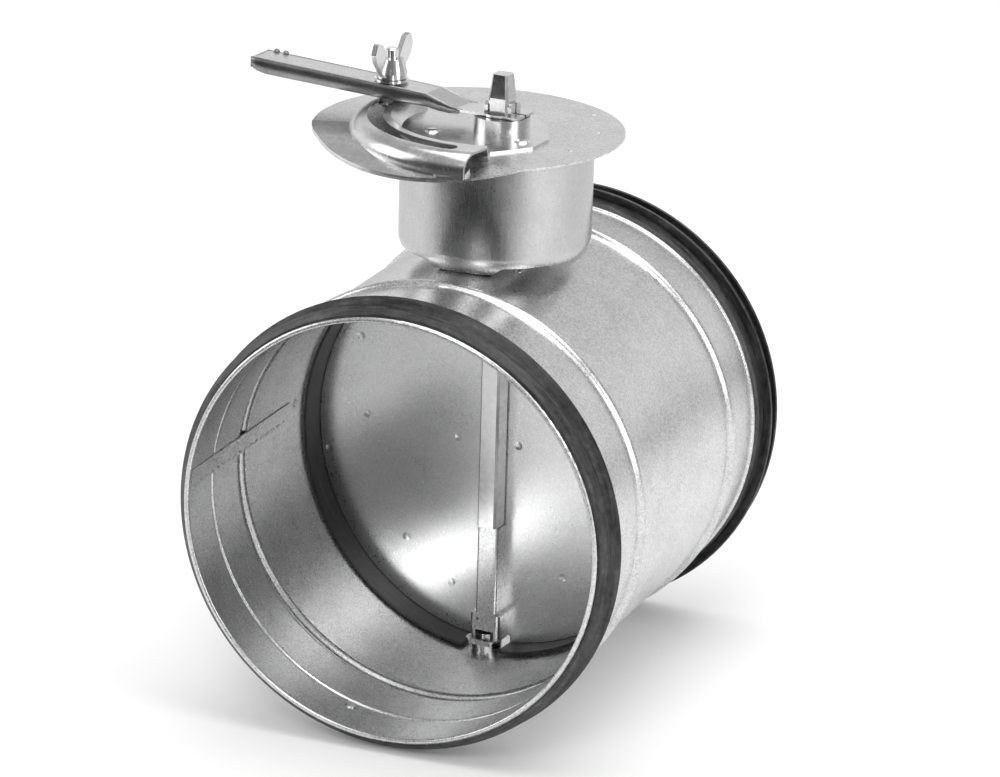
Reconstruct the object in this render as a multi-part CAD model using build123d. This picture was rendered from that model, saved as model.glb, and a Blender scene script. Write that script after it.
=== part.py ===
# Round volume control damper with a raised hand lever, for a 200 mm duct.
# Millimetres, +Z up along the blade shaft, duct axis along Y, lever pointing to -X when closed.
# The origin is the crossing of the duct axis and the shaft axis.
from build123d import *
from math import asin, atan2, cos, degrees, hypot, radians, sin, sqrt
import os

# ---- duct casing -------------------------------------------------------------------------
casing_r = 99.6             # outside radius of the spigots
casing_wall = 0.8
casing_front = 126.0        # shaft axis to front rim
casing_rear = 112.0         # shaft axis to rear rim
rim_roll_r = 1.2            # rolled edge at each end
bead_inset = 59.0           # stop bead to its rim
bead_height = 2.4
bead_half_width = 5.0
retainer_inset = 27.5       # small ridge behind each gasket, to its rim
retainer_height = 1.0
retainer_half_width = 1.8
seam_angle = 174.5          # lap seam, degrees from +X in the XZ plane
seam_width = 9.0
seam_step = 0.5

# ---- lip gaskets -------------------------------------------------------------------------
gasket_inset = 2.7          # rim to gasket
gasket_width = 22.3
gasket_base = 1.6
first_lip_height = 4.9      # free height of each lip above the spigot
second_lip_height = 6.3
lip_thickness = 2.2         # at the root; the tip is half of it
first_lip = 0.4             # start of the gasket to each lip's root
second_lip = 11.6
lip_lean = 2.6              # how far each lip leans away from the rim
band_rivet_r = 1.6          # rivet that holds each gasket, by the rim
band_rivet_angle = -104.8
band_rivet_inset = 22.4
band_rivet_head_r = 3.0
band_rivet_head = 1.0

# ---- drawn pot that lifts the lever clear of the insulation ------------------------------
pot_r = 44.7
pot_y = -5.0                # centre of the pot, ahead of the shaft
pot_wall = 0.8
pot_corner_r = 10.0
pot_height = 54.9           # crown of the casing to the plate
pot_saddle = 1.2            # depth of the saddle that lies on the casing
saddle_half_width = 13.5
recess_lift = 4.4           # raised parts of the floor on both sides of the saddle
recess_slope = 6.0
recess_outer = 36.0
pot_flange_r = 53.0
pot_flange_bend = 2.0

# ---- plate and quadrant ------------------------------------------------------------------
plate_thickness = 1.0
plate_r = 72.3
plate_x = -16.0
plate_y = -1.0
plate_bend_y = -51.0        # where the bend line crosses the plate's middle
plate_bend_skew = -5.0      # bend line from X, degrees
plate_bend_drop = 15.0      # front segment bent down, degrees
quadrant_sheet = 1.0
arc_height = 7.0            # plate to the top of the raised arc
arc_inner_r = 51.0
arc_inner_slope = 5.0       # run of the slope down to the basin
arc_outer_r = 70.5          # outer skirt of the arc
arc_shoulder_r = 8.0        # rounded shoulder between top and skirt
arc_outer_drop = 13.0
arc_back_angle = 160.0      # back end of the raised arc, degrees from +X
arc_front_angle = 284.5
arc_front_cut = ((13.9, -52.3), (9.7, -69.7))  # the sheared front end, in plan
flange_back_angle = 197.0
slot_end_slack = 2.2        # slot beyond the bolt's travel, degrees
blade_travel = 92.0         # closed to open, degrees
front_pad = (-2.0, 10.0, -72.0, -62.5)  # stamped pad at the front foot: x0, x1, y0, y1
front_pad_rise = 0.8
slot_r = 58.4
slot_width = 7.4
collar_r = 13.0             # drawn collar round the shaft
collar_wall = 1.1
collar_height = 8.0         # plate to the top of the collar

hub_corners = [(-20, 16), (-10, 30), (4, 30), (17.5, 14), (25.5, -6), (24.0, -22), (15, -33),
               (9.8, -38.6), (-20, -38)]
quadrant_rivet_places = [(-27.3, -17.8), (16.4, -15.9), (-4.0, 24.0)]

# ---- shaft and its bearings --------------------------------------------------------------
shaft_side = 10.0
shaft_chamfer = 1.1
shaft_stands = 18.0         # shaft above the lever's hub
shaft_bottom = -37.0
shaft_taper = 11.0          # length of the tapered end
shaft_end_side = 7.8
sleeve_r = 9.0
bush_r = 12.0
bush_flange_r = 12.9
collar_bush_flange_r = 16.0
bush_flange = 1.7
bush_stands_in = 1.6        # casing bush inside the duct
running_gap = 0.05
square_gap = 0.05
seat_gap = 0.3
stud_r = 4.0
stud_flange_r = 7.2
stud_head_r = 8.5
stud_head = 2.6
stud_stands = 1.2           # pin above the ear

# ---- blade -------------------------------------------------------------------------------
closed_angle = -6.0         # blade and lever at rest, degrees from square to the duct
blade_gap = 2.6             # front plate to the casing's wall
blade_rear_gap = 4.8
blade_sheet = 1.0
seal_web = 1.5
seal_grip = 10.2            # web of the seal between the plates
seal_lip_gap = 0.7          # lip to the casing's wall
seal_lip_front = -8.0
seal_lip_wall = 1.2
dish_rim = 16.0             # rim of the rear plate that is stepped back
dish_slope = 5.0
top_notch_width = 25.0
low_notch_width = 19.0
notch_depth = 6.0           # casing's wall to the end of each notch
weld_spots = [(25.5, 176.6), (3.6, -169.5), (10.3, 150.4), (75.2, 175.9), (84.8, 15.3), (24.3, -131.7),
              (20.7, -107.5), (27.9, -58.0), (25.5, 3.4), (10.3, 29.6), (24.3, 48.3), (21.3, 108.7)]  # inset, angle
weld_spot_r = 2.0
weld_spot_depth = 0.35
channel_width = 11.0
channel_depth = 8.0
channel_sheet = 1.2
channel_stands = 15.8       # end of the channel to the casing's wall
bracket_width = 15.5
bracket_height = 12.5
bracket_sheet = 1.2
bracket_stands = 5.3        # bracket's ear to the casing's wall
bracket_ear_reach = 9.0
bracket_hole_r = 0.8
bracket_window = 3.2        # height of the opening in front of the stud

# ---- lever and its clamp -----------------------------------------------------------------
lever_width = 16.0
lever_sheet = 1.2
lever_reach = 128.5
lever_hub_end = 12.0
lever_hub_lift = 1.5        # top of the lever's hub above the collar
lever_step_start = 20.0
lever_step_end = 36.0
lever_step_lift = 7.2       # top of the lever above the arc
lever_tip_rise = 3.9        # from there to the tip
lever_flange_depth = 6.4
lever_flange_start = 27.0
lever_flange_run = 20.0     # over which the flange reaches its depth
lever_tip_cut = 6.0
lever_ear_half_width = 4.6
lever_ear_height = 5.0
lever_ear_thickness = 1.8
lever_hub_slit = 1.4
bolt_r = 3.0
bolt_head_r = 6.0
bolt_head_gap = 0.6         # head to the underside of the arc
bolt_head = 2.6
bolt_neck = 5.8
bolt_spare = 5.0            # thread above the nut
bolt_end_chamfer = 0.8
washer_r = 8.0
washer_thickness = 1.2
nut_body_r = 7.2
nut_body_top_r = 5.2
nut_height = 9.0
wing_span = 33.0
wing_height = 18.5
wing_thickness = 2.6
wing_angle = 82.0           # wings at rest, degrees from +X

# ---- rivets ------------------------------------------------------------------------------
rivet_r = 2.0
rivet_head_r = 3.6
rivet_head = 1.1
rivet_gap = 0.05

# ---- sizes that follow -------------------------------------------------------------------
casing_mid = (casing_rear - casing_front) / 2
casing_in = casing_r - casing_wall
pot_floor = casing_r - pot_saddle
plate_top = casing_r + pot_height + plate_thickness
arc_top = plate_top + arc_height
collar_top = plate_top + collar_height
bush_bottom = casing_in - bush_stands_in
blade_r = casing_in - blade_gap
blade_rear_r = casing_in - blade_rear_gap
dish_r = blade_rear_r - dish_rim
seal_inner_r = blade_r - seal_grip
seal_lip_r = casing_in - seal_lip_gap
notch_z = casing_in - notch_depth
channel_bottom = channel_stands - casing_in
bracket_ear_z = bracket_stands - casing_in
bracket_top = bracket_ear_z + bracket_height
blade_front_y = shaft_side / 2
seal_y = blade_front_y + blade_sheet
blade_rear_y = seal_y + seal_web
plate_under = plate_top - plate_thickness
lever_hub_web = collar_top + lever_hub_lift
lever_step_top = arc_top + lever_step_lift
lever_tip_top = lever_step_top + lever_tip_rise
shaft_top = lever_hub_web + shaft_stands
lever_slope = (lever_tip_top - lever_step_top) / (lever_reach - lever_step_end)
bolt_seat = lever_step_top + (slot_r - lever_step_end) * lever_slope
washer_seat = bolt_seat + lever_slope * washer_r + seat_gap
nut_seat = washer_seat + washer_thickness + seat_gap
far = 400.0                 # larger than the part, for cutting bodies


def ring(r_out, r_in, z0, z1):
    """A plain tube along Z."""
    tube = Cylinder(r_out, z1 - z0, align=(Align.CENTER, Align.CENTER, Align.MIN))
    tube -= Cylinder(r_in, z1 - z0, align=(Align.CENTER, Align.CENTER, Align.MIN))
    return Pos(0, 0, z0) * tube


def rod(r, z0, z1):
    """A plain round bar along Z."""
    return Pos(0, 0, z0) * Cylinder(r, z1 - z0, align=(Align.CENTER, Align.CENTER, Align.MIN))


def block(x0, x1, y0, y1, z0, z1):
    """A box between two corners."""
    size = Box(x1 - x0, y1 - y0, z1 - z0, align=(Align.MIN, Align.MIN, Align.MIN))
    return Pos(x0, y0, z0) * size


def turned_y(points):
    """Turn a closed outline of (radius, y) points about the duct axis."""
    outline = make_face(Polyline(*points, close=True))
    return revolve(outline, axis=Axis.Y)


def turned_z(points, offset=(0, 0)):
    """Turn a closed outline of (radius, z) points about a vertical axis."""
    outline = Plane.XZ * make_face(Polyline(*points, close=True))
    return Pos(offset[0], offset[1], 0) * revolve(outline, axis=Axis.Z)


def swung(part):
    """Turn a blade-side piece from square to the duct to its closed angle."""
    return Rot(0, 0, closed_angle) * part


def swage(r, y, height, half):
    """A rolled bump on a wall of radius r: four equal arcs, drawn towards +Y."""
    bend = (half * half + height * height) / (4 * height)
    side = half / 2
    lean = asin(side / bend) / 2
    foot_rise = bend * (1 - cos(lean))
    foot_run = bend * sin(lean)
    lift = r + height / 2
    return [
        ThreePointArc((r, y - half), (r + foot_rise, y - half + foot_run), (lift, y - side)),
        ThreePointArc((lift, y - side), (r + height, y), (lift, y + side)),
        ThreePointArc((lift, y + side), (r + foot_rise, y + half - foot_run), (r, y + half)),
    ]


def rivet(x, y, z0, z1, r=rivet_r, head_r=rivet_head_r, head=rivet_head):
    """A rivet along Z with a low domed head at each end of its grip."""
    dome = turned_z([(0, 0), (head_r, 0), (head_r * 0.75, head * 0.75), (0, head)])
    body = rod(r, z0, z1) + Pos(0, 0, z1) * dome
    body += Pos(0, 0, z0) * (Rot(180, 0, 0) * dome)
    return Pos(x, y, 0) * body


def largest(shape):
    """The largest solid of a cut shape."""
    return shape.solids().sort_by(SortBy.VOLUME)[-1]


def along_y(shape):
    """Lay a shape drawn along Z on to the duct axis."""
    return Rot(90, 0, 0) * shape


# ---- duct casing -------------------------------------------------------------------------
def casing_bumps():
    """Every rolled bump along the casing: (y, height, half width), front to rear."""
    front, rear = -casing_front, casing_rear
    return [
        (front + retainer_inset, retainer_height, retainer_half_width),
        (front + bead_inset, bead_height, bead_half_width),
        (rear - bead_inset, bead_height, bead_half_width),
        (rear - retainer_inset, retainer_height, retainer_half_width),
    ]


def casing_wall_line(r):
    """One skin of the casing from front rim to rear rim, as edges at radius r."""
    edges = []
    y = -casing_front
    for bump_y, height, half in casing_bumps():
        edges.append(Line((r, y), (r, bump_y - half)))
        edges += swage(r, bump_y, height, half)
        y = bump_y + half
    edges.append(Line((r, y), (r, casing_rear)))
    return edges


def make_casing():
    ends = [Line((casing_in, y), (casing_r, y)) for y in (-casing_front, casing_rear)]
    skin = make_face(casing_wall_line(casing_r) + casing_wall_line(casing_in) + ends)
    body = revolve(skin, axis=Axis.Y)
    for y in (-casing_front + rim_roll_r, casing_rear - rim_roll_r):
        roll = Pos(casing_r - rim_roll_r / 3, y) * Circle(rim_roll_r)
        body += revolve(roll, axis=Axis.Y)
    # lap seam: the inner lap stands in from the wall, pressed flush where the blade seals
    mid = casing_in - seam_step / 2
    for y0, y1 in ((-casing_front + 3, -16), (24, casing_rear - 3)):
        lap = block(mid - seam_step, mid + seam_step, y0, y1, -seam_width / 2, seam_width / 2)
        lap &= along_y(ring(casing_in + 0.1, casing_in - seam_step, -far, far))
        body += Rot(0, -seam_angle, 0) * lap
    body -= rod(bush_r + rivet_gap, 0, far)
    body -= rod(stud_r + rivet_gap, -far, 0)
    for y in band_rivet_ys():
        body -= radial(y, rod(band_rivet_r + rivet_gap, 0, far))
    return body


def band_rivet_ys():
    return (-casing_front + band_rivet_inset, casing_rear - band_rivet_inset)


def radial(y, shape):
    """Lay a shape drawn along Z outwards through the casing where the gasket's rivet is."""
    return Pos(0, y, 0) * Rot(0, 90 - band_rivet_angle, 0) * shape


def make_gasket(rim_y, inward):
    """Double lip gasket round a spigot. inward is +1 or -1, from the rim to the middle."""
    base_r = casing_r + gasket_base
    start = rim_y + inward * gasket_inset
    tip = lip_thickness / 2

    def lip(root, height):
        edge = casing_r + height
        return [(base_r, root), (edge, root + lip_lean), (edge - tip / 3, root + lip_lean + tip),
                (base_r, root + lip_thickness)]

    outline = [(casing_r, 0), (base_r, 0)] + lip(first_lip, first_lip_height) + lip(second_lip, second_lip_height)
    outline += [(base_r, gasket_width - 1.5), (casing_r, gasket_width)]
    gasket = turned_y([(r, start + inward * y) for r, y in outline])
    for y in band_rivet_ys():
        gasket -= radial(y, rod(band_rivet_r + rivet_gap, 0, far))
    return gasket


def make_band_rivets():
    """One rivet through each gasket and the casing: low head inside, pan head on the rubber."""
    base = casing_r + gasket_base
    group = []
    for y in band_rivet_ys():
        one = rivet(0, 0, casing_in, base, band_rivet_r, band_rivet_head_r, band_rivet_head)
        group.append(radial(y, one) - casing)
    return Compound(children=[largest(one) for one in group])


# ---- pot -----------------------------------------------------------------------------------
def pot_skin(inset):
    """Outside (inset 0) or inside (inset = wall) surface of the pot, as a solid."""
    r = pot_r - inset
    corner = pot_corner_r - inset
    floor = pot_floor + inset
    bend = pot_flange_bend + inset
    top = plate_under - pot_wall + inset
    lid = plate_under + inset
    turn = 1 - sqrt(0.5)
    outline = make_face([
        Line((0, floor), (r - corner, floor)),
        ThreePointArc((r - corner, floor), (r - corner * turn, floor + corner * turn), (r, floor + corner)),
        Line((r, floor + corner), (r, top - bend)),
        ThreePointArc((r, top - bend), (r + bend * turn, top - bend * turn), (r + bend, top)),
        Line((r + bend, top), (r + bend, lid)),
        Line((r + bend, lid), (0, lid)),
        Line((0, lid), (0, floor)),
    ])
    bowl = Pos(0, pot_y, 0) * revolve(Plane.XZ * outline, axis=Axis.Z)
    # saddle on the casing between two raised parts of the floor
    bowl -= along_y(rod(casing_r + inset, -far, far))
    for side in (0, 180):
        bowl -= Rot(0, 0, side) * floor_recess(inset)
    return largest(bowl)


def floor_recess(inset):
    """Space under one raised part of the floor, grown by inset."""
    roof = casing_r + recess_lift
    slope = recess_slope / recess_lift
    low = pot_floor - pot_corner_r
    start = saddle_half_width + (low - casing_r) * slope
    stop = recess_outer + (roof - low) * slope / 2
    face = make_face(Polyline((start, low), (saddle_half_width + recess_slope, roof), (recess_outer, roof),
                              (stop, low), close=True))
    if inset > 0:
        face = offset(face, amount=inset, kind=Kind.INTERSECTION)
    return extrude(Plane.XZ * face, amount=far, both=True)


def make_pot():
    """Drawn pot with an out-turned flange and a floor that sits astride the casing."""
    below = under_plate(-plate_thickness)
    flange = Pos(0, pot_y, 0) * rod(pot_flange_r, 0, far) & (below - under_plate(-plate_thickness - pot_wall))
    body = (pot_skin(0) & below) + flange - pot_skin(pot_wall)
    return body - rod(bush_r + rivet_gap, 0, far)


# ---- plate and quadrant --------------------------------------------------------------------
def under_plate(lift):
    """Everything below the plate's top surface raised by lift, bent front included."""
    frame = Pos(plate_x, plate_bend_y, plate_top + lift) * Rot(0, 0, plate_bend_skew)
    flat = frame * block(-far, far, 0, far, -far, 0)
    front = frame * Rot(plate_bend_drop, 0, 0) * block(-far, far, -far, 0, -far, 0)
    front &= frame * block(-far, far, -far, 0, -far, far)
    return flat + front


def make_plate():
    disc = Pos(plate_x, plate_y, 0) * rod(plate_r, 0, far)
    plate = disc & (under_plate(0) - under_plate(-plate_thickness))
    plate -= rod(bush_r + rivet_gap, 0, far)
    for x, y in quadrant_rivet_places:
        plate -= Pos(x, y, 0) * rod(rivet_r + rivet_gap, 0, far)
    return plate


def sector(angle0, angle1, reach=200.0):
    """A tall wedge between two directions from the shaft."""
    steps = 6
    rim = [angle0 + (angle1 - angle0) * i / steps for i in range(steps + 1)]
    points = [(0, 0)] + [(reach * cos(radians(a)), reach * sin(radians(a))) for a in rim]
    return extrude(make_face(Polyline(*points, close=True)), amount=far)


def arc_skin(inset):
    """Outside (inset 0) or inside (inset = sheet) of the raised arc, as a solid."""
    rise = arc_height - quadrant_sheet
    level = plate_top + quadrant_sheet
    top = arc_top - inset
    bottom = arc_top - arc_outer_drop
    step_in = inset * hypot(arc_inner_slope, rise) / rise
    foot_r = arc_inner_r - arc_inner_slope + step_in
    top_r = arc_inner_r + step_in - inset * arc_inner_slope / rise
    shoulder = arc_shoulder_r - inset
    skirt = arc_outer_r - inset
    turn = 1 - sqrt(0.5)
    outline = make_face([
        Line((foot_r, bottom), (foot_r, level)),
        Line((foot_r, level), (top_r, top)),
        Line((top_r, top), (skirt - shoulder, top)),
        ThreePointArc((skirt - shoulder, top), (skirt - shoulder * turn, top - shoulder * turn), (skirt, top - shoulder)),
        Line((skirt, top - shoulder), (skirt, bottom)),
        Line((skirt, bottom), (foot_r, bottom)),
    ])
    return revolve(Plane.XZ * outline, axis=Axis.Z)


def front_end():
    """Everything beyond the sheared front end of the arc."""
    (x0, y0), (x1, y1) = arc_front_cut
    turn = atan2(x1 - x0, y0 - y1)
    return Pos(x0, y0, 0) * Rot(0, 0, degrees(turn)) * block(0, far, -far, 0.5, 0, far)


def make_quadrant():
    """Stamped quadrant: basin, raised arc with its slot, outer flange, hub and drawn collar."""
    level = plate_top + quadrant_sheet
    reach = sector(arc_back_angle, arc_front_angle)
    arc = (arc_skin(0) - arc_skin(quadrant_sheet)) & reach
    arc -= under_plate(0)
    on_plate = Pos(plate_x, plate_y, 0) * rod(plate_r, 0, far)
    flange = (under_plate(quadrant_sheet) - under_plate(0)) & on_plate & sector(flange_back_angle, arc_front_angle)
    flange -= rod(arc_outer_r - quadrant_sheet / 2, 0, far)
    x0, x1, y0, y1 = front_pad
    pad = (under_plate(quadrant_sheet + front_pad_rise) - under_plate(0)) & block(x0, x1, y0, y1, 0, far)
    pad = pad & on_plate & sector(flange_back_angle, arc_front_angle)
    body = arc + flange + pad - front_end()
    body -= block(x0 - 2.4, x0 - 1.0, y0, y0 + 6, 0, far)
    basin = rod(arc_inner_r - arc_inner_slope + 0.5, plate_top, level) & reach
    hub_face = make_face(Polyline(*hub_corners, close=True))
    body += basin + Pos(0, 0, plate_top) * extrude(hub_face, amount=quadrant_sheet)
    body -= rod(collar_r - collar_wall, 0, far)
    body += ring(collar_r, collar_r - collar_wall, plate_top, collar_top)
    body += ring(collar_r, sleeve_r + 0.6, collar_top - collar_wall, collar_top)
    # slot for the clamp bolt, a little longer than the blade's travel
    first = 180 + closed_angle - slot_end_slack
    last = 180 + closed_angle + blade_travel + slot_end_slack
    half = slot_width / 2
    cut = ring(slot_r + half, slot_r - half, level + 2, far) & sector(first, last)
    for a in (first, last):
        cut += Pos(slot_r * cos(radians(a)), slot_r * sin(radians(a)), 0) * rod(half, level + 2, far)
    body -= cut
    for x, y in quadrant_rivet_places:
        body -= Pos(x, y, 0) * rod(rivet_r + rivet_gap, 0, far)
    return body


def make_quadrant_rivets():
    group = []
    for x, y in quadrant_rivet_places:
        one = rivet(x, y, plate_under, plate_top + quadrant_sheet)
        group.append(largest(one - plate - quadrant))
    return Compound(children=group)


# ---- bearings ------------------------------------------------------------------------------
def square_bar(side, z0, z1, chamfer_by):
    bar = block(-side / 2, side / 2, -side / 2, side / 2, z0, z1)
    return chamfer(bar.edges().filter_by(Axis.Z), chamfer_by)


def make_casing_bush():
    """Flanged bush through the pot's foot and the casing; its flange follows the foot."""
    bore = sleeve_r + running_gap
    seat = casing_r + pot_wall
    bush = ring(bush_r, bore, bush_bottom, seat) + ring(bush_flange_r, bore, bush_bottom + 1, seat + bush_flange)
    return largest(bush - casing - pot - along_y(rod(casing_in, -far, far)) + ring(bush_r, bore, bush_bottom, seat))


def make_collar_bush():
    """Flanged bush in the quadrant's collar; its flange is under the plate."""
    bore = sleeve_r + running_gap
    neck = collar_r - collar_wall - running_gap
    bush = ring(neck, bore, plate_under - bush_flange, collar_top - collar_wall - running_gap)
    return bush + ring(collar_bush_flange_r, bore, plate_under - bush_flange, plate_under)


def make_sleeve(z0, z1):
    """Round sleeve with a square hole, turning with the shaft."""
    hole = square_bar(shaft_side + 2 * square_gap, z0 - 1, z1 + 1, shaft_chamfer)
    return swung(rod(sleeve_r, z0, z1) - hole)


def make_stud():
    """Stub pin riveted in the floor of the casing; the blade's lower ear turns on it."""
    top = bracket_ear_z + bracket_sheet + stud_stands
    bottom = -casing_r - stud_head
    stud = rod(stud_r, bottom + 1, top) + rod(stud_flange_r, -casing_in - 1, bracket_ear_z - seat_gap)
    stud += turned_z([(0, bottom), (stud_head_r * 0.7, bottom), (stud_head_r, bottom + stud_head * 0.7),
                      (stud_head_r, -casing_in), (0, -casing_in)])
    return largest(stud - casing)


# ---- blade, all drawn square to the duct and then swung ------------------------------------
def pivot_notches():
    """Cut-outs in the blade's rim for the two bearings."""
    high = top_notch_width / 2
    low = low_notch_width / 2
    return block(-high, high, -far, far, notch_z, far) + block(-low, low, -far, far, -far, -notch_z)


def make_blade_front():
    disc = turned_y([(0, blade_front_y), (blade_r, blade_front_y), (blade_r, seal_y), (0, seal_y)])
    disc -= pivot_notches()
    # spot welds show as shallow round dents
    bowl_r = (weld_spot_r ** 2 + weld_spot_depth ** 2) / (2 * weld_spot_depth)
    for inset, angle in weld_spots:
        spot = Pos(blade_r - inset, blade_front_y + weld_spot_depth - bowl_r, 0) * Sphere(bowl_r)
        disc -= Rot(0, -angle, 0) * spot
    return swung(disc)


def make_blade_rear():
    """Rear plate: lies on the front one in the middle, stepped back at the rim to hold the seal."""
    step = blade_rear_y - seal_y
    near = [(0, seal_y), (dish_r, seal_y), (dish_r + dish_slope, blade_rear_y), (blade_rear_r, blade_rear_y)]
    back = [(blade_rear_r, blade_rear_y + blade_sheet), (dish_r + dish_slope - 0.3, blade_rear_y + blade_sheet),
            (dish_r - 0.3, blade_rear_y + blade_sheet - step), (0, seal_y + blade_sheet)]
    return swung(turned_y(near + back) - pivot_notches())


def make_seal():
    """Rubber ring clamped between the plates, with a lip that runs forward along the casing."""
    wall = seal_lip_wall
    web_r = blade_r + 0.3
    seal = turned_y([
        (seal_inner_r, seal_y), (web_r, seal_y), (seal_lip_r - wall - 0.2, seal_lip_front),
        (seal_lip_r, seal_lip_front), (web_r + wall, blade_rear_y), (seal_inner_r, blade_rear_y),
    ])
    return swung(seal - pivot_notches())


def make_shaft():
    """Square bar with a tapered upper end."""
    bar = square_bar(shaft_side, shaft_bottom, shaft_top - shaft_taper, shaft_chamfer)
    low = Plane.XY.offset(shaft_top - shaft_taper) * Rectangle(shaft_side, shaft_side)
    high = Plane.XY.offset(shaft_top) * Rectangle(shaft_end_side, shaft_end_side)
    low = chamfer(low.vertices(), shaft_chamfer)
    high = chamfer(high.vertices(), shaft_chamfer)
    return swung(bar + loft([low, high]))


def make_channel():
    """Channel under the shaft's end, carrying the drive on to the lower pivot."""
    half = channel_width / 2
    front = blade_front_y - channel_depth
    top = shaft_bottom - seat_gap
    body = block(-half, half, front, blade_front_y, channel_bottom, top)
    body = fillet(body.edges().filter_by(Axis.Z).group_by(Axis.Y)[0], 1.4)
    inner = block(-half + channel_sheet, half - channel_sheet, front + channel_sheet,
                  blade_front_y + 1, channel_bottom - 1, top + 1)
    return swung(body - inner)


def make_bracket():
    """Lower pivot bracket: wraps the channel, with an ear that turns on the stud."""
    half = bracket_width / 2
    sheet = bracket_sheet
    inner = channel_width / 2 + rivet_gap
    front = blade_front_y - channel_depth - sheet
    ear_top = bracket_ear_z + sheet
    wrap = block(-half, half, front, blade_front_y, bracket_ear_z, bracket_top)
    wrap = fillet(wrap.edges().filter_by(Axis.Z).group_by(Axis.Y)[0], 2.0)
    wrap -= block(-inner, inner, front + sheet, blade_front_y + 1, ear_top, bracket_top + 1)
    # window in front of the stud, and the locating hole above it
    window = block(-half + 1.6, half - 2.6, front - 1, front + sheet + 1, ear_top, ear_top + bracket_window)
    wrap -= window
    wrap -= Pos(-3.4, 0, bracket_top - 2.6) * along_y(rod(bracket_hole_r, 0, far))
    ear = block(-half, half, -bracket_ear_reach, blade_front_y, bracket_ear_z, ear_top)
    ear = fillet(ear.edges().filter_by(Axis.Z).group_by(Axis.Y)[0], 2.5)
    lip = block(-half + 2.5, half - 2.5, -bracket_ear_reach, -bracket_ear_reach + sheet, ear_top - 2.6, ear_top)
    body = wrap + ear + lip
    return swung(body - rod(stud_r + running_gap, bracket_ear_z - 5, ear_top + 3))


# ---- lever and clamp -----------------------------------------------------------------------
def lever_top_line():
    """Side view of the lever's top, from hub to tip, as (reach, z)."""
    return [(-lever_hub_end, lever_hub_web), (lever_step_start, lever_hub_web),
            (lever_step_end, lever_step_top), (lever_reach, lever_tip_top)]


def make_lever():
    """Pressed lever: flat hub, then a U section that rises to the tip."""
    top = lever_top_line()
    half = lever_width / 2
    sheet = lever_sheet
    web_line = top + [(x, z - sheet) for x, z in reversed(top)]
    depth = lever_flange_depth
    flange_line = [
        (lever_flange_start, lever_hub_web + 1.2), (lever_step_end, lever_step_top - 0.1),
        (lever_reach, lever_tip_top - 0.1), (lever_reach, lever_tip_top - depth * 0.75),
        (lever_reach - lever_tip_cut, lever_tip_top - depth - 0.5),
        (lever_step_end + lever_flange_run, lever_step_top - depth * 0.62),
        (lever_flange_start + 1, lever_hub_web - 0.8),
    ]

    def side_plate(points, y0, y1):
        face = Plane.XZ * make_face(Polyline(*[(-x, z) for x, z in points], close=True))
        return Pos(0, y1, 0) * extrude(face, amount=y1 - y0)

    body = side_plate(web_line, -half, half)
    hub = rod(lever_width / 2 + 1, lever_hub_web - sheet, lever_hub_web)
    body += hub
    for y0 in (-half, half - sheet):
        body += side_plate(flange_line, y0, y0 + sheet)
    # upturned tip tongue and the two ears that grip the shaft
    tip = block(-lever_reach - sheet, -lever_reach + 0.2, -half, half, lever_tip_top - depth * 0.75, lever_tip_top)
    body += tip
    ear_in = shaft_side / 2 + square_gap + 0.1
    for side in (-1, 1):
        ear = block(ear_in, ear_in + lever_ear_thickness, -lever_ear_half_width, lever_ear_half_width,
                    lever_hub_web - sheet / 2, lever_hub_web + lever_ear_height)
        ear = chamfer(ear.edges().filter_by(Axis.X).group_by(Axis.Z)[-1], lever_ear_height / 3)
        body += ear if side > 0 else mirror(ear, about=Plane.YZ)
    body -= square_bar(shaft_side + 2 * square_gap, 0, far, shaft_chamfer)
    neck = bolt_neck + seat_gap
    body -= block(-slot_r - neck / 2, -slot_r + neck / 2, -neck / 2, neck / 2, 0, far)
    # end of the hub, split in two ears
    split = lever_hub_slit / 2
    body -= block(ear_in + lever_ear_thickness / 2, far, -split, split, 0, far)
    return swung(body)


def make_bolt():
    """Carriage bolt: its head slides under the raised arc, its neck is square."""
    head_top = arc_top - quadrant_sheet - bolt_head_gap
    top = nut_seat + nut_height + bolt_spare
    end = bolt_end_chamfer
    bolt = rod(bolt_r, head_top - bolt_head, top - end)
    bolt += Pos(0, 0, top - end) * Cone(bolt_r, bolt_r - end, end, align=(Align.CENTER, Align.CENTER, Align.MIN))
    bolt += turned_z([(0, head_top - bolt_head), (bolt_head_r * 0.6, head_top - bolt_head),
                      (bolt_head_r, head_top - 0.8), (bolt_head_r, head_top), (0, head_top)])
    half = bolt_neck / 2
    bolt += block(-half, half, -half, half, head_top - 0.1, bolt_seat - seat_gap)
    return swung(Pos(-slot_r, 0, 0) * bolt)


def make_washer():
    washer = ring(washer_r, bolt_r + seat_gap, washer_seat, washer_seat + washer_thickness)
    return swung(Pos(-slot_r, 0, 0) * washer)


def make_wing_nut():
    """Round-bodied nut with two wings that lean outwards."""
    base = nut_seat
    bore = bolt_r + running_gap
    body = turned_z([(bore, base), (nut_body_r, base), (nut_body_r, base + 2.4),
                     (nut_body_top_r, base + nut_height), (bore, base + nut_height)])
    wing_line = [(nut_body_top_r - 1.2, 0.8), (nut_body_r + 1.0, 1.2), (wing_span / 2 - 1.5, wing_height / 2),
                 (wing_span / 2, wing_height - 5.0), (wing_span / 2 - 2.2, wing_height),
                 (wing_span / 2 - 6.2, wing_height - 1.0), (nut_body_top_r - 0.8, nut_height - 0.5)]
    face = Plane.XZ * make_face(Polyline(*wing_line, close=True))
    wing = Pos(0, wing_thickness / 2, base) * extrude(face, amount=wing_thickness)
    wing = fillet(wing.edges().filter_by(Axis.Y), 0.9)
    for turn in (0, 180):
        body += Rot(0, 0, turn) * wing
    body -= rod(bore, 0, far)
    nut = Rot(0, 0, wing_angle - closed_angle) * body
    return swung(Pos(-slot_r, 0, 0) * nut)


# ---- build and write -----------------------------------------------------------------------
casing = make_casing()
pot = make_pot()
plate = make_plate()
quadrant = make_quadrant()

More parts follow.
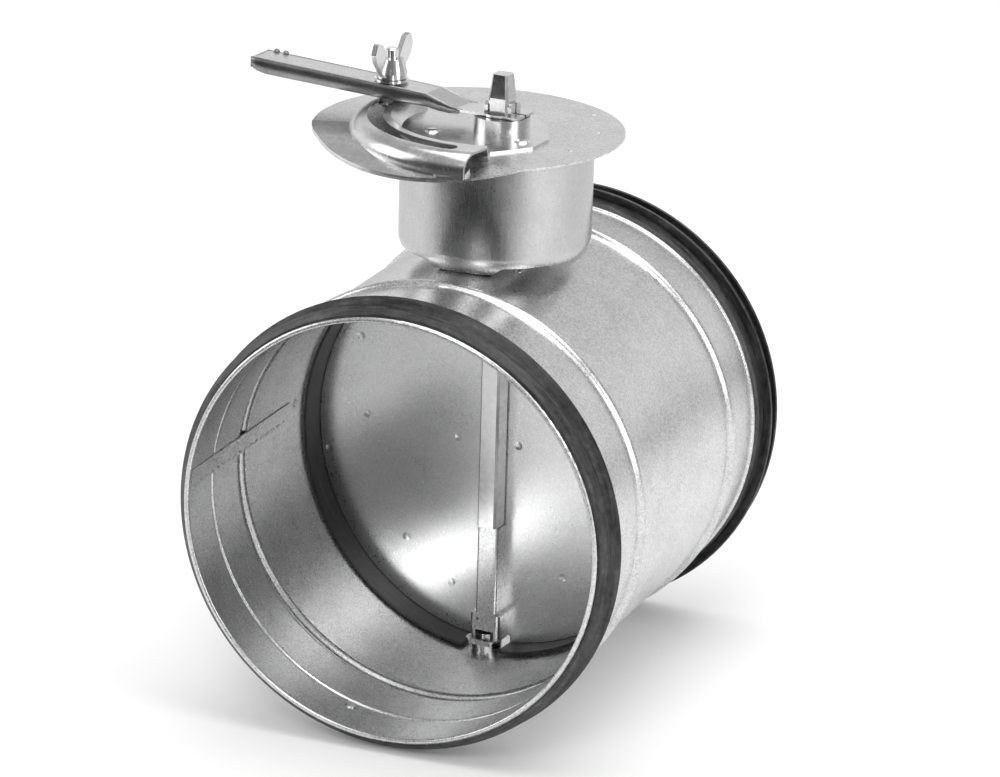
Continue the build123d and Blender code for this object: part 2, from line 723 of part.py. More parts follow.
nodes = {
    "duct_casing": casing,
    "front_gasket": make_gasket(-casing_front, 1),
    "rear_gasket": make_gasket(casing_rear, -1),
    "gasket_rivets": make_band_rivets(),
    "standoff_pot": pot,
    "mounting_plate": plate,
    "quadrant": quadrant,
    "quadrant_rivets": make_quadrant_rivets(),
    "casing_bush": make_casing_bush(),
    "collar_bush": make_collar_bush(),
    "pivot_stud": make_stud(),
    "drive_shaft": make_shaft(),
    "lower_sleeve": make_sleeve(bush_bottom - 0.5, casing_r + pot_wall + 5.0),
    "upper_sleeve": make_sleeve(plate_under - 4.0, lever_hub_web - lever_sheet),
    "blade_front": make_blade_front(),
    "blade_rear": make_blade_rear(),
    "blade_seal": make_seal(),
    "shaft_channel": make_channel(),
    "pivot_bracket": make_bracket(),
    "lever": make_lever(),
    "clamp_bolt": make_bolt(),
    "clamp_washer": make_washer(),
    "wing_nut": make_wing_nut(),
}

os.makedirs("parts", exist_ok=True)
for name, shape in nodes.items():
    export_step(shape, f"parts/{name}.step")
    print(name, round(shape.volume), len(shape.solids()))
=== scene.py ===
# %% [markdown]
# # A round volume control damper
#
# A damper is a short length of round duct with a disc inside it. The disc turns on a square shaft,
# and a hand lever on top sets how much air passes. Almost everything on it is galvanised sheet
# steel, and the three seals are black rubber. The pieces come ready made from the CAD model, so
# this lesson dresses them: a finish for each piece, the small marks that the press shop leaves, a
# camera and soft studio light.

import bpy
import math
from mathutils import Matrix, Vector


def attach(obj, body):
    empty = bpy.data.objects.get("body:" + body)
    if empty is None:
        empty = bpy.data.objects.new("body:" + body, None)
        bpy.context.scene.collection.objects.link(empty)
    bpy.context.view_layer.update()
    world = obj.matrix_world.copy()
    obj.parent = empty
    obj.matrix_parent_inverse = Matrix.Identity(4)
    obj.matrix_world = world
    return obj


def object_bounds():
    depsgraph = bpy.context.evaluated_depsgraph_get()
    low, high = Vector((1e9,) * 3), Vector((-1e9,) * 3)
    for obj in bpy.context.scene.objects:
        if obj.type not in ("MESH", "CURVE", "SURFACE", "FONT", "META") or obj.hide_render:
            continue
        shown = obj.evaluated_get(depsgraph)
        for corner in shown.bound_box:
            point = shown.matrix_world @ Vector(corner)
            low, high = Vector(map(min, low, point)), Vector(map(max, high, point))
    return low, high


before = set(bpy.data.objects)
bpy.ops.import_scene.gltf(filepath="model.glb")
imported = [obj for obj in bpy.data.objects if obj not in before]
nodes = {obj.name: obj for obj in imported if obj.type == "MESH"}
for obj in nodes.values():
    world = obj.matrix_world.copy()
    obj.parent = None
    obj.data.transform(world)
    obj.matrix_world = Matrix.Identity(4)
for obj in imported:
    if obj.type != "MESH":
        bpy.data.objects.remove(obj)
cad_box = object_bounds()
print("pieces from the CAD model:", len(nodes))
bpy.context.scene.view_settings.view_transform = "Standard"

# %% [markdown]
# ## Where the camera stands
#
# The damper is seen from a little above and to the right of its open front, with a long lens, which
# keeps the rims close to true ellipses. The lens, the distance and the small roll are fixed
# numbers, so the view is the same each time.

# %% Camera
AZIMUTH, ELEVATION, ROLL = math.radians(21.57), math.radians(18.47), math.radians(1.65)
DISTANCE = 2.2806           # from the target, in metres
TARGET = Vector((0.00278, 0.0, 0.03132))
LENS, SENSOR_WIDTH, FAR_CLIP = 175.7, 36.0, 50.0


def add_camera():
    """Put the camera on its line of sight and turn it to face the damper."""
    back = Vector((math.sin(AZIMUTH) * math.cos(ELEVATION),
                   -math.cos(AZIMUTH) * math.cos(ELEVATION), math.sin(ELEVATION)))
    right = Vector((0, 0, 1)).cross(back).normalized()
    up = back.cross(right)
    side = math.cos(ROLL) * right + math.sin(ROLL) * up
    top = -math.sin(ROLL) * right + math.cos(ROLL) * up
    data = bpy.data.cameras.new("camera")
    data.lens = LENS
    data.sensor_width = SENSOR_WIDTH
    data.clip_end = FAR_CLIP
    camera = bpy.data.objects.new("camera", data)
    bpy.context.scene.collection.objects.link(camera)
    turn = Matrix((side, top, back)).transposed().to_4x4()
    camera.matrix_world = Matrix.Translation(TARGET + back * DISTANCE) @ turn
    bpy.context.scene.camera = camera
    return camera


camera = add_camera()
print("camera at", [round(v, 3) for v in camera.location])

# %% [markdown]
# ## Floor, sky and lamps
#
# Bare metal has hardly any colour of its own: it shows what is around it. In a studio it stands on
# white paper that curves up behind it, with large soft lamps above and at the sides. The room
# behind the camera is dark, and so is the strip in front of the paper's edge. Round sheet metal
# then gets both bright and dark bands, which is what makes it look like metal. The paper here is a
# floor that ends a little in front of the damper. The sky has a white rear, a dark front, a grey
# roof and a grey right side.

# %% Floor
lowest = cad_box[0].z


def node_tree(material):
    """Give a material an empty tree with its output, and return the nodes and links."""
    material.use_nodes = True
    tree = material.node_tree
    tree.nodes.clear()
    return tree.nodes, tree.links


FLOOR_FRONT, FLOOR_REAR, FLOOR_SIDE = -0.56, 7.0, 5.0
FLOOR_DROP = 0.0004                         # below the lowest point of the damper
PAPER_WHITE = 0.93
GLOW_STARTS, GLOW_ENDS = 0.30, 1.60         # distances from the origin
GLOW_NEAR, GLOW_FAR = 0.09, 0.36            # strengths at those distances


def add_floor():
    """White paper that keeps the shadow, with a glow for the camera that grows further away."""
    middle = (FLOOR_REAR + FLOOR_FRONT) / 2
    bpy.ops.mesh.primitive_plane_add(size=1.0, location=(0, middle, lowest - FLOOR_DROP))
    floor = bpy.context.object
    floor.name = "floor"
    floor.scale = (2 * FLOOR_SIDE, FLOOR_REAR - FLOOR_FRONT, 1)
    paper = bpy.data.materials.new("white_paper")
    n, links = node_tree(paper)
    out = n.new("ShaderNodeOutputMaterial")
    sheet = n.new("ShaderNodeBsdfDiffuse")
    sheet.inputs["Color"].default_value = (PAPER_WHITE, PAPER_WHITE, PAPER_WHITE, 1)
    place = n.new("ShaderNodeNewGeometry")
    far_off = n.new("ShaderNodeVectorMath")
    far_off.operation = "LENGTH"
    links.new(place.outputs["Position"], far_off.inputs[0])
    level = n.new("ShaderNodeMapRange")
    level.inputs["From Min"].default_value = GLOW_STARTS
    level.inputs["From Max"].default_value = GLOW_ENDS
    level.inputs["To Min"].default_value = GLOW_NEAR
    level.inputs["To Max"].default_value = GLOW_FAR
    links.new(far_off.outputs["Value"], level.inputs["Value"])
    path = n.new("ShaderNodeLightPath")
    seen = n.new("ShaderNodeMath")
    seen.operation = "MULTIPLY"
    links.new(path.outputs["Is Camera Ray"], seen.inputs[0])
    links.new(level.outputs[0], seen.inputs[1])
    glow = n.new("ShaderNodeEmission")
    links.new(seen.outputs[0], glow.inputs["Strength"])
    both = n.new("ShaderNodeAddShader")
    links.new(sheet.outputs[0], both.inputs[0])
    links.new(glow.outputs[0], both.inputs[1])
    links.new(both.outputs[0], out.inputs["Surface"])
    floor.data.materials.append(paper)
    return floor


floor = add_floor()
print("floor height", round(floor.location.z, 4))

# %% [markdown]
# The sky is made of three soft steps, each along one axis: front to rear, low to high and middle to
# right. The camera itself sees plain white instead.

# %% Sky
REAR_WHITE, FRONT_DARK, ROOF_GREY, RIGHT_GREY = 0.92, 0.06, 0.42, 0.40
REAR_STEP, ROOF_STEP, RIGHT_STEP = (-0.45, 0.10), (0.18, 0.66), (0.35, 0.90)


def smooth_range(n, links, value, low, high):
    """0 below low, 1 above high, with a soft change between."""
    ramp = n.new("ShaderNodeMapRange")
    ramp.interpolation_type = "SMOOTHSTEP"
    ramp.inputs["From Min"].default_value = low
    ramp.inputs["From Max"].default_value = high
    links.new(value, ramp.inputs["Value"])
    return ramp.outputs[0]


def blend_floats(n, links, factor, start, end):
    """A number between two others; each input may be a number or a socket."""
    mix = n.new("ShaderNodeMix")
    mix.data_type = "FLOAT"
    for key, value in (("Factor", factor), ("A", start), ("B", end)):
        socket = mix.inputs[key]
        if isinstance(value, float):
            socket.default_value = value
        else:
            links.new(value, socket)
    return mix.outputs["Result"]


def add_sky():
    """White for the camera; elsewhere a white rear, a dark front, a grey roof and a grey right."""
    world = bpy.data.worlds.new("studio")
    bpy.context.scene.world = world
    n, links = node_tree(world)
    out = n.new("ShaderNodeOutputWorld")
    where = n.new("ShaderNodeTexCoord")
    split = n.new("ShaderNodeSeparateXYZ")
    links.new(where.outputs["Generated"], split.inputs[0])
    rear = smooth_range(n, links, split.outputs["Y"], *REAR_STEP)
    high = smooth_range(n, links, split.outputs["Z"], *ROOF_STEP)
    right = smooth_range(n, links, split.outputs["X"], *RIGHT_STEP)
    low_part = blend_floats(n, links, rear, FRONT_DARK, REAR_WHITE)
    sides = blend_floats(n, links, right, low_part, RIGHT_GREY)
    level = blend_floats(n, links, high, sides, ROOF_GREY)
    room = n.new("ShaderNodeBackground")
    links.new(level, room.inputs["Strength"])
    white = n.new("ShaderNodeBackground")
    path = n.new("ShaderNodeLightPath")
    mix = n.new("ShaderNodeMixShader")
    for back in (room, white):
        back.inputs["Color"].default_value = (1, 1, 1, 1)
    links.new(path.outputs["Is Camera Ray"], mix.inputs["Fac"])
    links.new(room.outputs[0], mix.inputs[1])
    links.new(white.outputs[0], mix.inputs[2])
    links.new(mix.outputs[0], out.inputs["Surface"])


add_sky()
print("sky ready")

# %% [markdown]
# Four large lamps do the rest: one overhead, one high in front, and a weaker one on each side.

# %% Lamps
def add_lamp(name, place, size, watts, aim=(0, 0, 0.02)):
    """A large rectangular area lamp that faces the damper."""
    data = bpy.data.lights.new(name, "AREA")
    data.shape = "RECTANGLE"
    data.size, data.size_y = size
    data.energy = watts
    lamp = bpy.data.objects.new(name, data)
    bpy.context.scene.collection.objects.link(lamp)
    lamp.location = place
    lamp.rotation_euler = (Vector(aim) - Vector(place)).to_track_quat("-Z", "Y").to_euler()


add_lamp("overhead", (0.2, 0.1, 1.5), (1.6, 1.6), 17)
add_lamp("front_high", (0.4, -1.9, 1.6), (0.8, 0.8), 12, (0, -0.1, -0.03))
add_lamp("left_side", (-1.4, -0.5, 0.7), (0.9, 0.9), 6)
add_lamp("right_side", (1.5, -0.4, 0.6), (0.6, 1.0), 6)

# %% [markdown]
# ## Galvanised sheet
#
# Molten zinc freezes on the steel in flat crystals, so the sheet shows a faint patchwork of lighter
# and darker cells, some shinier than others, over the fine lines left by the rolls. One Voronoi
# pattern gives each crystal its own brightness and roughness, a soft noise gives the clouds, and a
# stretched noise gives the lines.

# %% Metal helper
TONE_LOW, TONE_HIGH = 0.22, 0.78            # range of the pattern that the two tones span
SHINE_LOW, SHINE_HIGH = 0.25, 0.75          # range of the pattern that the roughness spans
SHINE_SPREAD = 0.06
METAL_RELIEF, RUBBER_RELIEF = 0.0002, 0.0003


def principled(n, links, out):
    """The main shader, joined to the output."""
    shader = n.new("ShaderNodeBsdfPrincipled")
    links.new(shader.outputs[0], out.inputs["Surface"])
    return shader


def ramp_of(n, stops):
    """A colour ramp with grey stops given as (position, brightness)."""
    ramp = n.new("ShaderNodeValToRGB")
    line = ramp.color_ramp
    while len(line.elements) < len(stops):
        line.elements.new(0.5)
    for element, (place, grey) in zip(line.elements, stops):
        element.position = place
        element.color = (grey, grey, grey * 1.003, 1)
    return ramp


def noise(n, links, vector, scale, detail, rough=0.5):
    """A soft random pattern between 0 and 1."""
    pattern = n.new("ShaderNodeTexNoise")
    pattern.inputs["Scale"].default_value = scale
    pattern.inputs["Detail"].default_value = detail
    pattern.inputs["Roughness"].default_value = rough
    links.new(vector, pattern.inputs["Vector"])
    return pattern.outputs["Fac"]


def stretched(n, links, stretch):
    """Object coordinates, drawn out along the axes whose factor is under 1."""
    where = n.new("ShaderNodeTexCoord")
    place = n.new("ShaderNodeMapping")
    place.inputs["Scale"].default_value = stretch
    links.new(where.outputs["Object"], place.inputs["Vector"])
    return place.outputs[0]


def round_the_duct(n, links, along):
    """Coordinates (distance from the duct's axis, y, angle times along), to run round the duct."""
    where = n.new("ShaderNodeTexCoord")
    split = n.new("ShaderNodeSeparateXYZ")
    links.new(where.outputs["Object"], split.inputs[0])
    angle = n.new("ShaderNodeMath")
    angle.operation = "ARCTAN2"
    links.new(split.outputs["Z"], angle.inputs[0])
    links.new(split.outputs["X"], angle.inputs[1])
    turn = n.new("ShaderNodeMath")
    turn.operation = "MULTIPLY"
    turn.inputs[1].default_value = along
    links.new(angle.outputs[0], turn.inputs[0])
    flat = n.new("ShaderNodeCombineXYZ")
    flat.inputs["Y"].default_value = 0.0
    links.new(split.outputs["X"], flat.inputs["X"])
    links.new(split.outputs["Z"], flat.inputs["Z"])
    radius = n.new("ShaderNodeVectorMath")
    radius.operation = "LENGTH"
    links.new(flat.outputs[0], radius.inputs[0])
    join = n.new("ShaderNodeCombineXYZ")
    links.new(radius.outputs["Value"], join.inputs["X"])
    links.new(split.outputs["Y"], join.inputs["Y"])
    links.new(turn.outputs[0], join.inputs["Z"])
    return join.outputs[0]


def sheet_metal(name, light, dark, rough, crystal, sparkle, cloud_scale, stretch, bump,
                grain=1500):
    """Zinc-coated steel: crystals that sparkle, soft clouds, and a grain that may run one way."""
    material = bpy.data.materials.new(name)
    n, links = node_tree(material)
    out = n.new("ShaderNodeOutputMaterial")
    shader = principled(n, links, out)
    shader.inputs["Metallic"].default_value = 1.0
    plain = stretched(n, links, (1, 1, 1))
    cells = n.new("ShaderNodeTexVoronoi")
    cells.inputs["Scale"].default_value = crystal
    links.new(plain, cells.inputs["Vector"])
    facet = n.new("ShaderNodeSeparateColor")
    links.new(cells.outputs["Color"], facet.inputs[0])
    clouds = noise(n, links, plain, cloud_scale, 4.0)
    lines = noise(n, links, stretched(n, links, stretch), grain, 2.0)
    # tone: clouds first, then each crystal a little lighter or darker
    mixed = blend_floats(n, links, sparkle, clouds, facet.outputs[0])
    tone = ramp_of(n, [(TONE_LOW, dark), (TONE_HIGH, light)])
    links.new(mixed, tone.inputs["Fac"])
    links.new(tone.outputs["Color"], shader.inputs["Base Color"])
    # shine: the same crystals and the grain
    relief = blend_floats(n, links, 0.5, mixed, lines)
    shine = n.new("ShaderNodeMapRange")
    shine.inputs["From Min"].default_value = SHINE_LOW
    shine.inputs["From Max"].default_value = SHINE_HIGH
    shine.inputs["To Min"].default_value = rough - SHINE_SPREAD
    shine.inputs["To Max"].default_value = rough + SHINE_SPREAD
    links.new(relief, shine.inputs["Value"])
    links.new(shine.outputs[0], shader.inputs["Roughness"])
    lift = n.new("ShaderNodeBump")
    lift.inputs["Strength"].default_value = bump
    lift.inputs["Distance"].default_value = METAL_RELIEF
    links.new(relief, lift.inputs["Height"])
    links.new(lift.outputs[0], shader.inputs["Normal"])
    return material


EVEN = (1, 1, 1)            # a grain that runs no way in particular
galvanised = sheet_metal("galvanised_sheet", 0.82, 0.56, 0.30, 1300, 0.50, 60, (1, 0.3, 1), 0.05)
blade_sheet = sheet_metal("blade_sheet", 0.88, 0.70, 0.30, 1500, 0.35, 40, (1, 1, 0.3), 0.04)
print("made", galvanised.name, blade_sheet.name)

# %% [markdown]
# ## Deep-drawn and bright zinc
#
# The pot is drawn from the same sheet, but drawing stretches the crystals away and leaves upright
# scoring from the die. The lever, the quadrant and the fasteners are plated after they are pressed:
# a thin smooth coat with no crystals, so they shine more and carry only a fine grain and faint
# clouds. The square shaft is a cold-drawn bar, with lines along its length.

# %% Drawn and plated steel
drawn_sheet = sheet_metal("drawn_sheet", 0.64, 0.48, 0.27, 900, 0.12, 45, (1, 1, 0.05), 0.06, 900)
plated = sheet_metal("zinc_plate", 0.90, 0.76, 0.15, 700, 0.12, 120, EVEN, 0.03, 1400)
pressed = sheet_metal("pressed_zinc", 0.80, 0.60, 0.24, 900, 0.20, 90, EVEN, 0.04, 1200)
# The rolled edges get a much darker sheet than the rest of the lever: painted shade, standing in
# for the shade that darkens the curls.
painted_shade_sheet = sheet_metal("rolled_edge", 0.40, 0.22, 0.30, 900, 0.15, 60, (0.06, 1, 1), 0.05, 900)
dull_edge = sheet_metal("dull_cut_edge", 0.30, 0.14, 0.40, 900, 0.30, 300, EVEN, 0.10, 900)
drawn_bar = sheet_metal("drawn_bar", 0.80, 0.55, 0.22, 600, 0.2, 200, (1, 1, 0.04), 0.06, 1800)
print("made", drawn_sheet.name, plated.name, pressed.name, drawn_bar.name)

# %% [markdown]
# ## Rubber seals
#
# The gaskets are black EPDM. New rubber from the shelf is dusty and scuffed on its ribs, so it is a
# dark grey with pale smears and small specks, matt in some places and greasy in others.

# %% Rubber
ROUND_SCALE = 0.012         # how far a pattern is drawn out round the duct
RUBBER_BUMP = 0.3


def rubber(name, base, dusty, rough, streak=0.25):
    """Dark rubber with dust: streak sets how much of it is smeared round the duct."""
    material = bpy.data.materials.new(name)
    n, links = node_tree(material)
    out = n.new("ShaderNodeOutputMaterial")
    shader = principled(n, links, out)
    ring = round_the_duct(n, links, ROUND_SCALE)
    smear = noise(n, links, ring, 420.0, 4.0, 0.6)
    specks = noise(n, links, stretched(n, links, (1, 1, 1)), 260.0, 6.0, 0.7)
    dust = blend_floats(n, links, streak, specks, smear)
    tone = ramp_of(n, [(0.40, base), (0.56, (base * 2 + dusty) / 3), (0.72, dusty)])
    links.new(dust, tone.inputs["Fac"])
    links.new(tone.outputs["Color"], shader.inputs["Base Color"])
    dull = n.new("ShaderNodeMapRange")
    dull.inputs["To Min"].default_value = rough - 0.12
    dull.inputs["To Max"].default_value = rough + 0.15
    links.new(dust, dull.inputs["Value"])
    links.new(dull.outputs[0], shader.inputs["Roughness"])
    lift = n.new("ShaderNodeBump")
    lift.inputs["Strength"].default_value = RUBBER_BUMP
    lift.inputs["Distance"].default_value = RUBBER_RELIEF
    links.new(dust, lift.inputs["Height"])
    links.new(lift.outputs[0], shader.inputs["Normal"])
    return material


gasket_rubber = rubber("gasket_rubber", 0.014, 0.16, 0.40, 0.6)
seal_rubber = rubber("seal_rubber", 0.02, 0.07, 0.42, 0.6)
bearing_plastic = rubber("bearing_plastic", 0.03, 0.06, 0.40)
print("made", gasket_rubber.name, seal_rubber.name, bearing_plastic.name)

# %% [markdown]
# ## Who wears what
#
# Each piece of the CAD model takes one finish. Sheet that came off the coil is galvanised, pressed
# and plated pieces are brighter, and the bushes and sleeves are black plastic.

# %% Put each finish on its pieces
FINISHES = {
    galvanised: ["duct_casing", "mounting_plate", "shaft_channel", "pivot_bracket"],
    blade_sheet: ["blade_front", "blade_rear"],
    drawn_sheet: ["standoff_pot"],
    pressed: ["quadrant", "lever"],
    plated: ["quadrant_rivets", "clamp_bolt", "clamp_washer", "wing_nut", "gasket_rivets",
             "pivot_stud"],
    drawn_bar: ["drive_shaft"],
    gasket_rubber: ["front_gasket", "rear_gasket"],
    seal_rubber: ["blade_seal"],
    bearing_plastic: ["casing_bush", "collar_bush", "lower_sleeve", "upper_sleeve"],
}


def dress(material, names):
    """Put one finish on every slot of the named pieces."""
    for name in names:
        for slot in nodes[name].material_slots:
            slot.material = material
        print(name, "->", material.name)


for finish_material, names in FINISHES.items():
    dress(finish_material, names)

# %% [markdown]
# ## Helpers for the small pieces
#
# The marks that the press shop leaves are shallow, so each one is a ball flattened and cut in half,
# laid on its surface. The rolled edges of the lever are long bars of one section, so they are drawn
# as a ring of points that is extruded from station to station, and made smaller or larger on the
# way.

# %% Modelling helpers
MM = 0.001
QUARTER = math.radians(90)
SWING = math.radians(-6.0)  # the lever's direction at rest, off -X
WELD_WITHIN = 0.005 * MM    # points nearer than this become one
SMOOTH_UNDER = math.radians(40)
# A half ball is cut just below its middle. The cut takes every ring within 0.1 mm as lying on it.
# On marks less than 0.58 mm high two rings do, and the faces between those rings are made twice,
# which leaves the normals of such marks uneven. A smaller threshold for the cut would prevent it.
CUT_BELOW = 0.05 * MM


def finish_mesh(piece, body, material):
    """Put a finished piece at the origin, with normals outward, one finish and its body."""
    bpy.ops.object.select_all(action="DESELECT")
    piece.select_set(True)
    bpy.context.view_layer.objects.active = piece
    bpy.ops.object.transform_apply(location=True, rotation=True, scale=True)
    bpy.ops.object.mode_set(mode="EDIT")
    bpy.ops.mesh.select_all(action="SELECT")
    bpy.ops.mesh.remove_doubles(threshold=WELD_WITHIN)
    bpy.ops.mesh.normals_make_consistent(inside=False)
    bpy.ops.object.mode_set(mode="OBJECT")
    bpy.ops.object.shade_smooth_by_angle(angle=SMOOTH_UNDER)
    piece.data.materials.clear()
    piece.data.materials.append(material)
    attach(piece, body)
    return piece


def half_ball(place, out, radius, height, stretch=1.0):
    """A flattened half ball on a surface: out points away from it, stretch makes it longer."""
    bpy.ops.mesh.primitive_uv_sphere_add(segments=20, ring_count=12, radius=radius * MM)
    ball = bpy.context.object
    bpy.ops.object.mode_set(mode="EDIT")
    bpy.ops.mesh.select_all(action="SELECT")
    bpy.ops.transform.resize(value=(1.0, stretch, height / radius))
    bpy.ops.mesh.bisect(plane_co=(0, 0, -CUT_BELOW), plane_no=(0, 0, 1), use_fill=True,
                        clear_inner=True)
    bpy.ops.object.mode_set(mode="OBJECT")
    up = Vector(out).normalized()
    across = Vector((0, 1, 0)).cross(Vector(out)).normalized()
    turn = Matrix((across, up.cross(across), up)).transposed().to_4x4()
    ball.matrix_world = Matrix.Translation(Vector(place) * MM) @ turn
    return ball


def joined(name, pieces, body, material):
    """Join a group of marks that belong to one surface."""
    bpy.ops.object.select_all(action="DESELECT")
    for piece in pieces:
        piece.select_set(True)
    bpy.context.view_layer.objects.active = pieces[0]
    if len(pieces) > 1:
        bpy.ops.object.join()
    whole = bpy.context.object
    whole.name = name
    whole.data.name = name
    return finish_mesh(whole, body, material)


def swept_bar(name, stations, corners=16):
    """A bar along X, through rings given as (x, y, z, half width, half height)."""
    x, y, z, wide, tall = stations[0]
    bpy.ops.mesh.primitive_circle_add(vertices=corners, radius=MM, fill_type="NGON",
                                      location=(0, 0, 0))
    bar = bpy.context.object
    bar.name = name
    bpy.ops.object.mode_set(mode="EDIT")
    bpy.ops.mesh.select_all(action="SELECT")
    bpy.ops.transform.rotate(value=QUARTER, orient_axis="Y", center_override=(0, 0, 0))
    bpy.ops.transform.resize(value=(1, wide, tall), center_override=(0, 0, 0))
    bpy.ops.transform.translate(value=(x * MM, y * MM, z * MM))
    for step in stations[1:]:
        move = [(b - a) * MM for a, b in zip((x, y, z), step[:3])]
        bpy.ops.mesh.extrude_region_move(TRANSFORM_OT_translate={"value": move})
        middle = tuple(v * MM for v in step[:3])
        bpy.ops.transform.resize(value=(1, step[3] / wide, step[4] / tall), center_override=middle)
        x, y, z, wide, tall = step
    bpy.ops.object.mode_set(mode="OBJECT")
    return bar


# %% [markdown]
# ## The lever's rolled edges
#
# The handle is a channel. Its two flanges are turned down over a generous radius, which stiffens
# the handle and is kind to the hand. Each is made as one rounded bar over the flange, thin by the
# hub and deepest along the handle. A third bar closes the tip, and two small nubs are left from the
# cut-off. The handle's flat top is left bare.

# %% Rolled edges
HUB_TOP, STEP_TOP, TIP_TOP = 165.0, 169.7, 173.6
STEP_START, STEP_END, REACH = 20.0, 36.0, 128.5
EDGE = 7.35                 # middle of each flange from the lever's centre line
EDGE_PROUD = 0.25           # how far each edge stands above the lever's top
EDGE_STATIONS = (           # distance from the shaft, depth and half width
    (17.0, 1.2, 0.5), (19.0, 2.6, 0.9), (24.0, 4.2, 1.15), (30.0, 5.6, 1.25), (36.0, 6.4, 1.3),
    (50.0, 6.9, 1.3), (80.0, 7.1, 1.35), (112.0, 7.3, 1.4), (122.0, 7.3, 1.4), (126.5, 6.6, 1.35),
    (129.0, 5.2, 1.1), (129.6, 3.6, 0.7))
TIP_STATIONS = (            # distance along the tip, half width and half height
    (-7.4, 0.9, 2.4), (-6.6, 1.2, 3.0), (0, 1.25, 3.1), (6.6, 1.2, 3.0), (7.4, 0.9, 2.4))
TIP_SINKS = 2.9             # middle of the tip's bar below the lever's top
NUB_REACHES, NUB_R = (124.5, 119.5), 1.5


def top_at(reach):
    """Height of the lever's top at a distance from the shaft."""
    if reach < STEP_START:
        return HUB_TOP
    if reach < STEP_END:
        return HUB_TOP + (STEP_TOP - HUB_TOP) * (reach - STEP_START) / (STEP_END - STEP_START)
    return STEP_TOP + (TIP_TOP - STEP_TOP) * (reach - STEP_END) / (REACH - STEP_END)


def rolled_edge(name, side):
    """The rounded bar over one flange; side is -1 for the front flange and 1 for the rear one."""
    stations = []
    for reach, depth, half_width in EDGE_STATIONS:
        middle = top_at(min(reach, REACH)) + EDGE_PROUD - depth / 2
        stations.append((-reach, side * EDGE, middle, half_width, depth / 2))
    edge = swept_bar(name, stations)
    edge.matrix_world = Matrix.Rotation(SWING, 4, "Z")
    # The bar wears the dark sheet, whose darkness is painted shade.
    return finish_mesh(edge, "blade", painted_shade_sheet)


def tip_roll():
    """The turned-down end between the two edges."""
    stations = [(along, 0, 0, half_width, half_height)
                for along, half_width, half_height in TIP_STATIONS]
    bar = swept_bar("lever_tip_roll", stations)
    place = Matrix.Translation(Vector((-REACH, 0, TIP_TOP - TIP_SINKS)) * MM)
    bar.matrix_world = Matrix.Rotation(SWING, 4, "Z") @ place @ Matrix.Rotation(QUARTER, 4, "Z")
    # The tip's bar wears the same dark sheet, painted shade as on the edges.
    finish_mesh(bar, "blade", painted_shade_sheet)


for edge_name, edge_side in (("lever_front_edge", -1), ("lever_rear_edge", 1)):
    edge = rolled_edge(edge_name, edge_side)
    print(edge.name, len(edge.data.polygons), "faces")
tip_roll()
swing_turn = Matrix.Rotation(SWING, 4, "Z")
nubs = [half_ball(swing_turn @ Vector((-reach, EDGE, top_at(reach))), (0, 0, 1), NUB_R, NUB_R)
        for reach in NUB_REACHES]
joined("lever_nubs", nubs, "blade", dull_edge)
print("lever dressed")

# %% [markdown]
# ## The quadrant's shoulder
#
# By its front foot the quadrant is slit, so that the foot can be pressed flat on the plate. The
# slit belongs to the foot alone. The sheet runs on unbroken over the shoulder above it, and that
# strip is made here: a flat strip that is spun a quarter turn over the shoulder and then drawn down
# to the foot.

# %% Strip over the slit
SHOULDER_R, SHOULDER_Z, SHEET, BEND = 62.5, 154.5, 1.0, 8.0
STRIP_ANGLE = math.radians(-93.2)
STRIP_WIDTH, STRIP_LEAD, STRIP_DROP, STRIP_STEPS = 1.7, 0.6, 2.0, 10


def shoulder_strip():
    """The strip of sheet over the shoulder: flat, then bent a quarter turn, then straight down."""
    bpy.ops.mesh.primitive_plane_add(size=MM, location=(0, 0, 0))
    strip = bpy.context.object
    strip.name = "quadrant_shoulder_strip"
    bpy.ops.object.mode_set(mode="EDIT")
    bpy.ops.mesh.select_all(action="SELECT")
    bpy.ops.transform.rotate(value=QUARTER, orient_axis="Y", center_override=(0, 0, 0))
    bpy.ops.transform.resize(value=(1, STRIP_WIDTH, SHEET), center_override=(0, 0, 0))
    top = SHOULDER_Z + BEND - SHEET / 2
    bpy.ops.transform.translate(value=((SHOULDER_R - STRIP_LEAD) * MM, 0, top * MM))
    bpy.ops.mesh.extrude_region_move(TRANSFORM_OT_translate={"value": (STRIP_LEAD * MM, 0, 0)})
    bpy.ops.mesh.spin(steps=STRIP_STEPS, angle=-QUARTER, axis=(0, 1, 0),
                      center=(SHOULDER_R * MM, 0, SHOULDER_Z * MM))
    bpy.ops.mesh.extrude_region_move(TRANSFORM_OT_translate={"value": (0, 0, -STRIP_DROP * MM)})
    bpy.ops.object.mode_set(mode="OBJECT")
    strip.matrix_world = Matrix.Rotation(STRIP_ANGLE, 4, "Z")
    return finish_mesh(strip, "casing", pressed)


strip = shoulder_strip()
print(strip.name, len(strip.data.polygons), "faces")

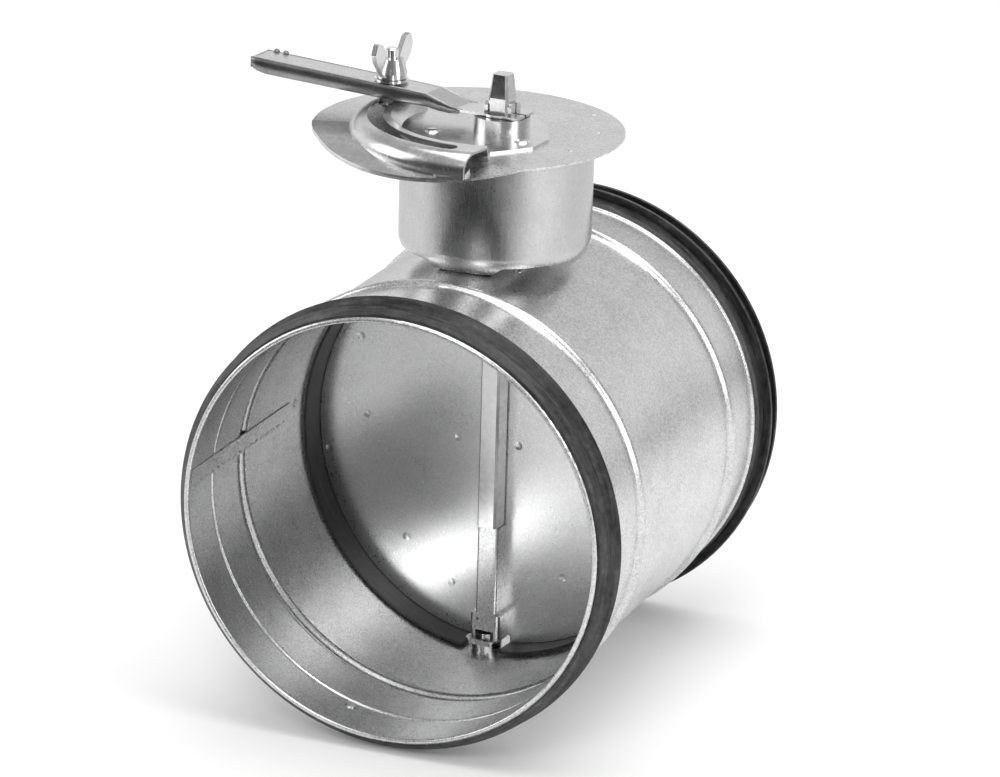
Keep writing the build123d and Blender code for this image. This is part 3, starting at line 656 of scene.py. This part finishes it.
# %% [markdown]
# ## Marks of welding
#
# The plate is held to the pot, and the pot to the casing, by spot welds. Each leaves a shallow
# round swelling. The lap seam of the casing is stitched by a row of short welds on its lower side,
# with one larger spot near the blade.

# %% Weld marks
PLATE_TOP, CASING_IN, LAP_IN = 155.5, 98.8, 98.3
PLATE_SPOTS = ((27, 48), (40, 19.5), (40, -15))
PLATE_SPOT = (1.7, 0.3)     # radius and height, as for the other marks
STITCHES, STITCH_FIRST_Y, STITCH_PITCH, STITCH_ANGLE = 16, -112.0, 6.0, 176.6
STITCH, STITCH_STRETCH = (0.7, 0.35), 2.6
SPOT_ANGLE, SPOT_Y, SPOT = 173.4, -8.5, (2.0, 0.7)
NUB_PLACE, NUB = (19.4, -23.9, 97.7), (2.2, 0.9)


def inner_wall(angle, y, radius):
    """A point on the casing's inner wall, and the direction into the duct."""
    out = Vector((math.cos(math.radians(angle)), 0, math.sin(math.radians(angle))))
    return (out.x * radius, y, out.z * radius), tuple(-out)


plate_marks = [half_ball((x, y, PLATE_TOP), (0, 0, 1), *PLATE_SPOT) for x, y in PLATE_SPOTS]
joined("plate_weld_marks", plate_marks, "casing", galvanised)

stitches = []
for step in range(STITCHES):
    place, out = inner_wall(STITCH_ANGLE, STITCH_FIRST_Y + STITCH_PITCH * step, LAP_IN)
    stitches.append(half_ball(place, out, *STITCH, STITCH_STRETCH))
joined("seam_stitches", stitches, "casing", galvanised)

place, out = inner_wall(SPOT_ANGLE, SPOT_Y, CASING_IN)
joined("seam_spot", [half_ball(place, out, *SPOT)], "casing", drawn_bar)
nub_out = Vector((NUB_PLACE[0], 0, NUB_PLACE[2])).normalized()
joined("pot_weld_nub", [half_ball(NUB_PLACE, tuple(nub_out), *NUB)], "casing", galvanised)
print("marks:", len(plate_marks) + len(stitches) + 2)

# %% [markdown]
# ## Close
#
# The box of the CAD model is printed.

# %% Close the lesson: the CAD model's box
print("CAD box", [round(v, 4) for corner in cad_box for v in corner])
